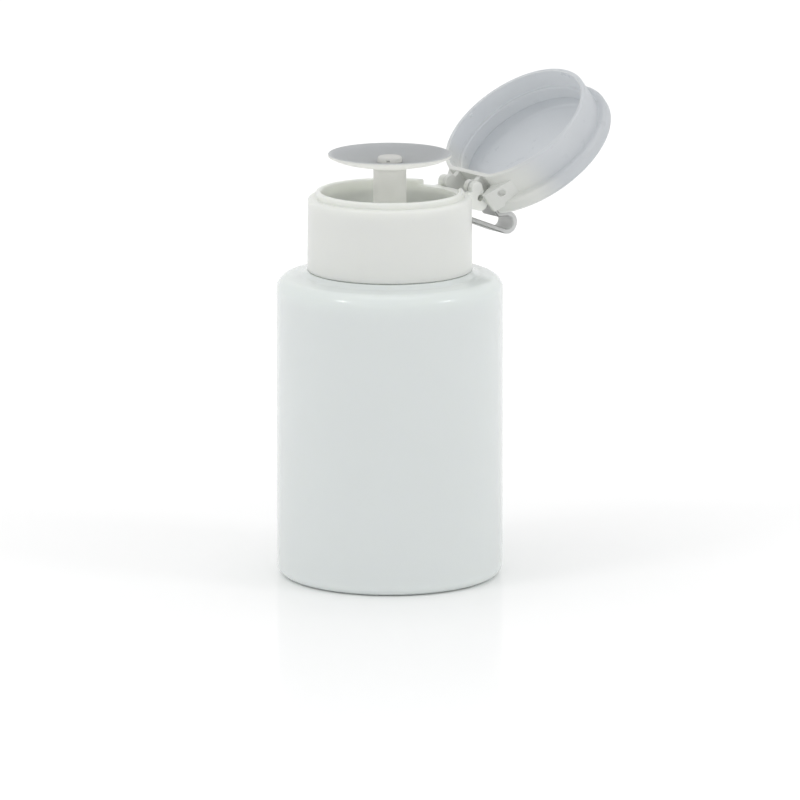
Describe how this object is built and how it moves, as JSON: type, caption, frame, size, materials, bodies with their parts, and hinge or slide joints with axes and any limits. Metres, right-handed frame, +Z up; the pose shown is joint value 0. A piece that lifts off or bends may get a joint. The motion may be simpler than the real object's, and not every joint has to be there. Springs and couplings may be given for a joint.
{
  "type": "pump bottle",
  "caption": "Milky round push-down pump bottle with a white screw collar, a shallow dish on a hollow stem, and a clear-frosted hinged lid held open.",
  "frame": {"origin": "middle of the bottle's base, on its axis, at the height of the surface that it stands on", "axes": "+Z up along the bottle's axis; the lid's hinge is behind, at +Y; the hinge pins lie along X"},
  "size_m": [0.057, 0.0917, 0.1232],
  "materials": {
    "bottle_milky": "satin, translucent natural blow-moulded plastic",
    "collar_white": "semi-gloss, slightly translucent moulded plastic",
    "lid_clear": "semi-gloss, clear-frosted moulded plastic",
    "pump_plastic": "semi-gloss moulded plastic",
    "piston_plastic": "soft, matt moulded plastic",
    "seal_rubber": "matt rubber",
    "gasket_foam": "matt closed-cell foam",
    "ball_steel": "polished steel",
    "spring_steel": "drawn steel wire"
  },
  "bodies": {
    "base": {"bottle": "bottle_milky"},
    "pump_body": {"pump_housing": "pump_plastic", "guide_cap": "pump_plastic", "stem_seal": "seal_rubber", "neck_gasket": "gasket_foam", "dip_tube": "pump_plastic", "return_spring": "spring_steel"},
    "screw_collar": {"collar": "collar_white"},
    "flip_lid": {"lid": "lid_clear"},
    "strap_root": {"strap_lower": "lid_clear"},
    "strap_end": {"strap_upper": "lid_clear"},
    "plunger": {"dish": "lid_clear", "outlet_cap": "pump_plastic", "stem": "pump_plastic", "piston": "piston_plastic"},
    "outlet_valve": {"outlet_ball": "ball_steel"},
    "inlet_valve": {"inlet_ball": "ball_steel"}
  },
  "joints": [
    {"name": "pump_lift", "type": "slide", "parent": "base", "child": "pump_body", "axis": [0, 0, 1], "range_m": [0, 0.006]},
    {"name": "collar_turn", "type": "hinge", "parent": "pump_body", "child": "screw_collar", "pos_m": [0, 0, 0.0911], "axis": [0, 0, 1], "range_deg": [0, 540]},
    {"name": "lid_hinge", "type": "hinge", "parent": "screw_collar", "child": "flip_lid", "pos_m": [0, 0.0221, 0.0972], "axis": [1, 0, 0], "range_deg": [0, 142.5]},
    {"name": "strap_swing", "type": "hinge", "parent": "screw_collar", "child": "strap_root", "pos_m": [0, 0.0215, 0.0892], "axis": [1, 0, 0], "range_deg": [0, 92.5]},
    {"name": "strap_fold", "type": "hinge", "parent": "strap_root", "child": "strap_end", "pos_m": [0, 0.0349, 0.0864], "axis": [1, 0, 0], "range_deg": [-98.6, 0]},
    {"name": "pump_press", "type": "slide", "parent": "pump_body", "child": "plunger", "axis": [0, 0, 1], "range_m": [-0.005, 0], "stiffness_N_per_m": 600, "springref_m": 0.002, "deforming": ["return_spring"]},
    {"name": "outlet_valve_lift", "type": "slide", "parent": "plunger", "child": "outlet_valve", "axis": [0, 0, 1], "range_m": [0, 0.0003]},
    {"name": "inlet_valve_lift", "type": "slide", "parent": "pump_body", "child": "inlet_valve", "axis": [0, 0, 1], "range_m": [0, 0.0003]}
  ],
  "couplings": [
    {"joint": "pump_lift", "follows": "collar_turn", "m_per_rad": 0.00063662},
    {"joint": "strap_swing", "follows": "lid_hinge", "ratio": 0.64851},
    {"joint": "strap_fold", "follows": "lid_hinge", "ratio": -0.69119}
  ]
}
